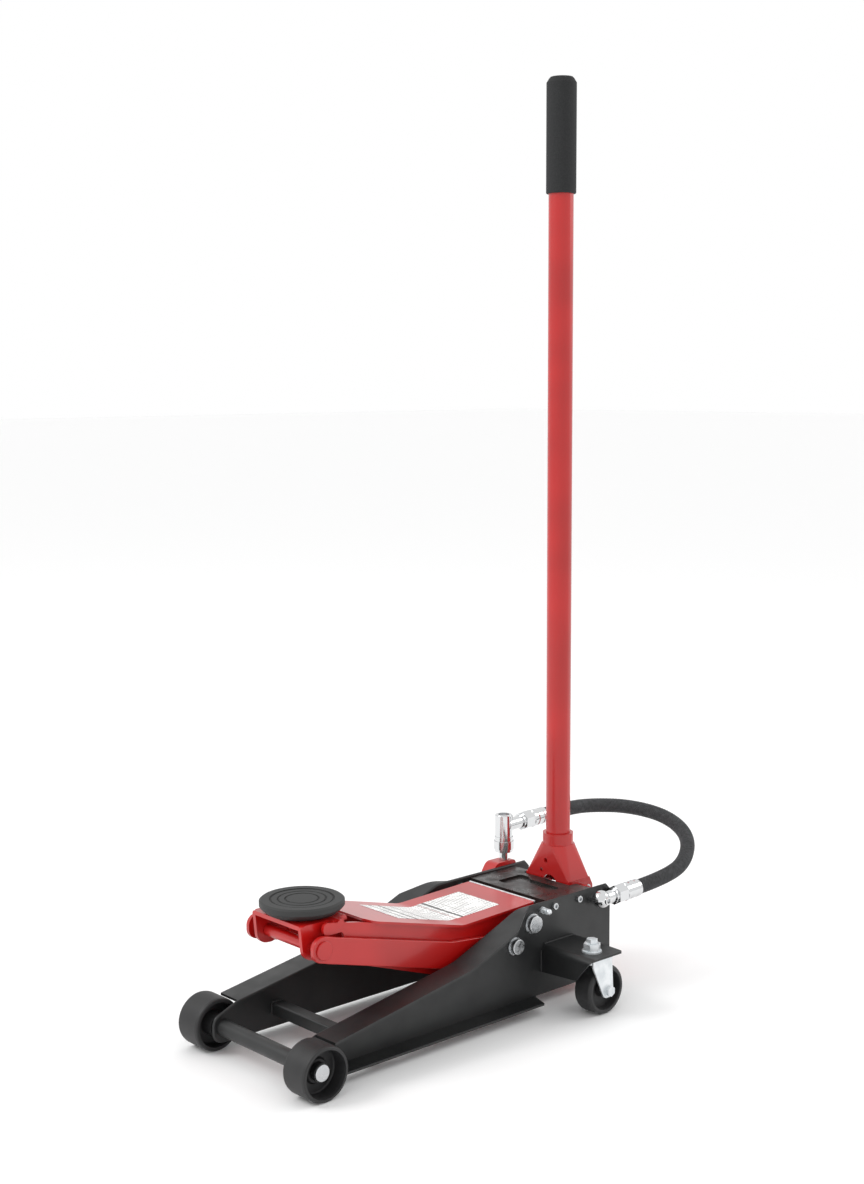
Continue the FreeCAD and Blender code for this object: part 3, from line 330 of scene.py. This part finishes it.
# Rear edge of the arm cover: a thin near-white metal strip, a painted highlight that stands in for the
# bright line of light the edge catches against the lid.
edge_highlight_paint, tree, shader = new_material("painted_edge_highlight", "E4E6E8", 0.3, 0.5)
tint(tree, shader, spread(tree, noise(tree, 5.0, 4.0), 0, 1), "CDD1D4", "F2F4F5")
bpy.ops.object.select_all(action="DESELECT")
bpy.ops.mesh.primitive_cube_add(size=1, location=(0, 0.1416, 0.1328))
edge_highlight_strip = bpy.context.object
edge_highlight_strip.name = "cover_edge_painted_highlight"
edge_highlight_strip.scale = (0.119, 0.0028, 0.0026)
settle(edge_highlight_strip)
bpy.ops.object.mode_set(mode="EDIT")
bpy.ops.mesh.select_all(action="SELECT")
bpy.ops.mesh.bevel(offset=0.0003, segments=2)
bpy.ops.object.mode_set(mode="OBJECT")
edge_highlight_strip.data.materials.append(edge_highlight_paint)
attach(edge_highlight_strip, "lift_arm")


# Weld beads: rippled runs of weld metal under the paint of the part they join, where plates meet.
# Each ripple catches a small highlight.
def weld(name, start, end, radius, material, body):
    """Row of flattened, overlapping ripples from start to end, in metres."""
    start, end = Vector(start), Vector(end)
    run = end - start
    step = radius * 0.7
    bpy.ops.object.select_all(action="DESELECT")
    bpy.ops.mesh.primitive_uv_sphere_add(segments=10, ring_count=6, radius=radius)
    piece = bpy.context.object
    piece.name = name
    piece.scale = (0.62, 1.0, 1.0)
    settle(piece)
    ripples = piece.modifiers.new("ripples", "ARRAY")
    ripples.count = max(2, round(run.length / step))
    ripples.use_relative_offset = False
    ripples.use_constant_offset = True
    ripples.constant_offset_displace = (run.length / ripples.count, 0, 0)
    bpy.ops.object.modifier_apply(modifier="ripples")
    bpy.ops.object.shade_smooth()
    piece.location = start
    piece.rotation_euler = run.to_track_quat("X", "Z").to_euler()
    settle(piece)
    piece.data.materials.append(material)
    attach(piece, body)


for side, word in ((1, "right"), (-1, "left")):
    for name, x, front, rear, radius in (
            ("tie_front_weld_", 0.0717, (-0.1765, 0.031), (-0.1765, 0.044), 0.0018),
            ("tie_top_weld_", 0.0717, (-0.175, 0.0448), (-0.161, 0.0448), 0.0018),
            ("bracket_front_weld_", 0.0753, (0.1378, 0.047), (0.1378, 0.074), 0.0018),
            ("bracket_top_weld_", 0.0753, (0.144, 0.0809), (0.197, 0.0809), 0.0018)):
        weld(name + word, (side * x, *front), (side * x, *rear), radius, frame_black, "frame")
    for name, x, front, rear, radius in (
            ("lever_weld_", 0.0245, (0.103, 0.1265), (0.134, 0.1272), 0.0016),
            ("cover_weld_", 0.0566, (0.03, 0.1265), (0.135, 0.1297), 0.0014)):
        weld(name + word, (side * x, *front), (side * x, *rear), radius, red_enamel, "lift_arm")

# Front rollers and caster wheels: moulded black nylon, matt, with the fine grain left by its mould.
wheel_nylon, tree, shader = new_material("moulded_black_nylon", "1E1E1F", 0.55)
tint(tree, shader, spread(tree, noise(tree, 30.0, 4.0), 0, 1), "1A1A1B", "242425")
bump(tree, shader, noise(tree, 0.9, 2.0), 0.03)
dress(wheel_nylon, "front_wheel_right", "front_wheel_left", "caster_wheel_right", "caster_wheel_left")

# Saddle pad: moulded black rubber, dull and slightly chalky on its wearing face. The three ring
# grooves get painted shade, near-black bands in the base colour, so they read as thin black circles.
pad_middle = (0, -0.184, 0.1925)
ramp_reach = 0.1
rubber_colour = "242525"
groove_shade_rings = ((0.0187, 0.0204, rubber_colour), (0.0273, 0.0289, rubber_colour), (0.0361, 0.0379, "2B2C2C"))
pad_rubber, tree, shader = new_material("moulded_black_rubber", "1E1F1F", 0.62)
place = add(tree, "ShaderNodeTexCoord", []).outputs["Object"]
from_axis = add(tree, "ShaderNodeVectorMath", [(0, place)], operation="DISTANCE")
from_axis.inputs[1].default_value = pad_middle
share = add(tree, "ShaderNodeMath", [(0, from_axis.outputs["Value"])], operation="DIVIDE")
share.inputs[1].default_value = ramp_reach
groove_shade_ramp = add(tree, "ShaderNodeValToRGB", [("Fac", share.outputs[0])])
groove_shade_ramp.color_ramp.interpolation = "CONSTANT"
groove_shade_ramp.color_ramp.elements[0].color = linear(rubber_colour)
# Painted shade: a near-black band across each groove, then the rubber colour beyond it.
for inner, outer, beyond in groove_shade_rings:
    groove_shade_ramp.color_ramp.elements.new(inner / ramp_reach).color = linear("0A0A0A")
    groove_shade_ramp.color_ramp.elements.new(outer / ramp_reach).color = linear(beyond)
tree.links.new(groove_shade_ramp.outputs["Color"], shader.inputs["Base Color"])
bump(tree, shader, noise(tree, 0.7, 2.0), 0.04)
dress(pad_rubber, "saddle_pad", "filler_plug")

# Pins, axle and ground rods: bright machined steel with a faint brushed grain.
bright_steel, tree, shader = new_material("bright_machined_steel", "C4C6C8", 0.28, 1.0)
tree.links.new(spread(tree, noise(tree, 5.0, 5.0), 0.2, 0.42), shader.inputs["Roughness"])
dress(bright_steel, "front_axle", "cover_screws", "arm_shaft", "link_bolts", "pivot_washers", "block_bolts",
      "gland_nut", "spring_posts", "lever_pin", "saddle_plate", "saddle_clip", "ram_rod", "ram_yoke",
      "pump_plunger", "release_valve", "socket_bolts", "pump_roller", "ram_cylinder")

# Caster forks, king pins, their nuts and the greasers: zinc plate, cloudy and softer than chromium.
zinc, tree, shader = new_material("bright_zinc_plate", "DDE1E4", 0.36, 0.7)
tint(tree, shader, spread(tree, noise(tree, 12.0, 5.0), 0, 1), "D2D7DA", "E8EBED")
tree.links.new(spread(tree, noise(tree, 6.0, 4.0), 0.32, 0.42), shader.inputs["Roughness"])
dress(zinc, "caster_fork_right", "caster_fork_left", "caster_axle_right", "caster_axle_left",
      "king_pin_right", "king_pin_left", "grease_nipples")

# Springs: oiled spring steel wire, dark with a thin sheen.
spring_wire, tree, shader = new_material("oiled_spring_wire", "6B6A68", 0.35, 1.0)
tint(tree, shader, spread(tree, noise(tree, 4.0, 3.0), 0, 1), "55534F", "7C7B78")
dress(spring_wire, "return_springs", "plunger_spring")

# Hand grip: closed-cell foam sleeve, dark grey and quite dull, with the fine pores of its skin.
grip_foam, tree, shader = new_material("grip_foam_skin", "1E1F20", 0.85)
tint(tree, shader, spread(tree, noise(tree, 1.2, 4.0), 0, 1), "18191A", "262728")
bump(tree, shader, noise(tree, 1.0, 3.0), 0.12)
dress(grip_foam, "handle_grip")

# Folded and sheared edges of the steel parts: broken slightly, as the coat rounds them, so that each
# edge carries a thin line of light.
for name in ("side_plate_right", "side_plate_left", "caster_bracket_right", "caster_bracket_left",
             "cross_tie", "rear_cover", "arm_cover", "saddle_carrier", "handle_socket"):
    edge = nodes[name].modifiers.new("broken_edges", "BEVEL")
    edge.width = 0.0005
    edge.segments = 2
    edge.limit_method = "ANGLE"
    edge.angle_limit = math.radians(50)
    edge.harden_normals = True

# Studio: pale matt floor that runs into a pale surround, lit softly from above and the left.
floor_data = bpy.data.meshes.new("floor")
floor_data.from_pydata([(-30, -30, 0), (30, -30, 0), (30, 30, 0), (-30, 30, 0)], [], [(0, 1, 2, 3)])
floor = bpy.data.objects.new("floor", floor_data)
bpy.context.collection.objects.link(floor)
floor_paint, tree, shader = new_material("pale_floor", "FCFCFC", 0.7)
floor_data.materials.append(floor_paint)
world = bpy.data.worlds.new("studio")
world.use_nodes = True
world.node_tree.nodes["Background"].inputs["Color"].default_value = (1, 1, 1, 1)
world.node_tree.nodes["Background"].inputs["Strength"].default_value = 1.0
bpy.context.scene.world = world
bpy.context.scene.view_settings.view_transform = "Standard"


def lamp(name, place, aim, size, power):
    """Square soft box at a place, pointing at a spot."""
    data = bpy.data.lights.new(name, "AREA")
    data.size = size
    data.energy = power
    piece = bpy.data.objects.new(name, data)
    bpy.context.collection.objects.link(piece)
    piece.location = place
    piece.rotation_euler = (Vector(aim) - Vector(place)).to_track_quat("-Z", "Y").to_euler()


lamp("key", (-1.4, -2.4, 2.8), (0, 0, 0.2), 1.4, 45)
lamp("rim", (1.2, 2.4, 1.8), (0, 0, 0.3), 1.0, 12)
